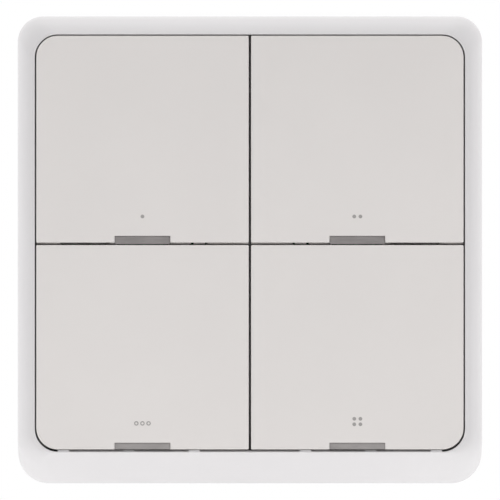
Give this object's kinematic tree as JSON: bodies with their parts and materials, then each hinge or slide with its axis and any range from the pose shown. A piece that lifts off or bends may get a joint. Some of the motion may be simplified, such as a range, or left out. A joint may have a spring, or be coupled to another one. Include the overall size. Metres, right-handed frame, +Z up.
{
  "type": "wall-mounted smart button",
  "caption": "Square wall-mounted smart button with tilting keys, light windows, a rounded frame with a sloping chin, a coin cell and a screw-on wall plate.",
  "frame": {"origin": "middle of the frame's outline, on the wall plane", "axes": "+X to the right seen from the front, +Y into the wall, +Z up; the keys face -Y"},
  "size_m": [0.082, 0.0194, 0.0826],
  "materials": {
    "frame_white": "satin",
    "key_white": "matte",
    "window_smoke": "satin, slightly translucent",
    "carrier_grey": "matte",
    "housing_white": "matte",
    "plate_grey": "matte",
    "board_green": "satin",
    "shield_metal": "satin",
    "antenna_brass": "satin",
    "chip_black": "matte",
    "component_tan": "matte",
    "led_resin": "gloss",
    "cell_metal": "brushed",
    "steel": "bright",
    "plunger_ivory": "matte"
  },
  "bodies": {
    "housing": {"front_frame": "frame_white", "key_carrier": "carrier_grey", "carrier_screws": "steel", "circuit_board": "board_green", "radio_module": "shield_metal", "antenna": "antenna_brass", "controller_chip": "chip_black", "crystal": "shield_metal", "board_components": "component_tan", "indicator_leds": "led_resin", "coin_cell": "cell_metal", "positive_contact": "steel", "negative_contact": "steel", "rear_housing": "housing_white", "wall_plate": "plate_grey", "return_spring_upper_left": "steel", "return_spring_upper_right": "steel", "return_spring_lower_left": "steel", "return_spring_lower_right": "steel", "switch_body_upper_left": "chip_black", "switch_body_upper_right": "chip_black", "switch_body_lower_left": "chip_black", "switch_body_lower_right": "chip_black"},
    "button_upper_left": {"button_upper_left": "key_white", "light_window_upper_left": "window_smoke"},
    "button_upper_right": {"button_upper_right": "key_white", "light_window_upper_right": "window_smoke"},
    "button_lower_left": {"button_lower_left": "key_white", "light_window_lower_left": "window_smoke"},
    "button_lower_right": {"button_lower_right": "key_white", "light_window_lower_right": "window_smoke"},
    "plunger_upper_left": {"switch_plunger_upper_left": "plunger_ivory"},
    "plunger_upper_right": {"switch_plunger_upper_right": "plunger_ivory"},
    "plunger_lower_left": {"switch_plunger_lower_left": "plunger_ivory"},
    "plunger_lower_right": {"switch_plunger_lower_right": "plunger_ivory"},
    "battery_cap": {"battery_cap": "housing_white"}
  },
  "joints": [
    {"name": "button_upper_left_tilt", "type": "hinge", "parent": "housing", "child": "button_upper_left", "pos_m": [-0.01895, -0.01615, 0.03385], "axis": [1, 0, 0], "range_deg": [0, 1.64], "stiffness_Nm_per_rad": 1, "springref_deg": -1.72, "deforming": ["return_spring_upper_left"]},
    {"name": "button_upper_right_tilt", "type": "hinge", "parent": "housing", "child": "button_upper_right", "pos_m": [0.01895, -0.01615, 0.03385], "axis": [1, 0, 0], "range_deg": [0, 1.64], "stiffness_Nm_per_rad": 1, "springref_deg": -1.72, "deforming": ["return_spring_upper_right"]},
    {"name": "button_lower_left_tilt", "type": "hinge", "parent": "housing", "child": "button_lower_left", "pos_m": [-0.01895, -0.01615, -0.00309], "axis": [1, 0, 0], "range_deg": [0, 1.64], "stiffness_Nm_per_rad": 1, "springref_deg": -1.72, "deforming": ["return_spring_lower_left"]},
    {"name": "button_lower_right_tilt", "type": "hinge", "parent": "housing", "child": "button_lower_right", "pos_m": [0.01895, -0.01615, -0.00309], "axis": [1, 0, 0], "range_deg": [0, 1.64], "stiffness_Nm_per_rad": 1, "springref_deg": -1.72, "deforming": ["return_spring_lower_right"]},
    {"name": "plunger_upper_left_press", "type": "slide", "parent": "housing", "child": "plunger_upper_left", "axis": [0, 1, 0], "range_m": [0, 0.0004]},
    {"name": "plunger_upper_right_press", "type": "slide", "parent": "housing", "child": "plunger_upper_right", "axis": [0, 1, 0], "range_m": [0, 0.0004]},
    {"name": "plunger_lower_left_press", "type": "slide", "parent": "housing", "child": "plunger_lower_left", "axis": [0, 1, 0], "range_m": [0, 0.0004]},
    {"name": "plunger_lower_right_press", "type": "slide", "parent": "housing", "child": "plunger_lower_right", "axis": [0, 1, 0], "range_m": [0, 0.0004]},
    {"name": "battery_cap_turn", "type": "hinge", "parent": "housing", "child": "battery_cap", "pos_m": [0, -0.003, 0], "axis": [0, 1, 0], "range_deg": [0, 45]}
  ],
  "couplings": [
    {"joint": "plunger_upper_left_press", "follows": "button_upper_left_tilt", "m_per_rad": 0.014},
    {"joint": "plunger_upper_right_press", "follows": "button_upper_right_tilt", "m_per_rad": 0.014},
    {"joint": "plunger_lower_left_press", "follows": "button_lower_left_tilt", "m_per_rad": 0.014},
    {"joint": "plunger_lower_right_press", "follows": "button_lower_right_tilt", "m_per_rad": 0.014}
  ]
}
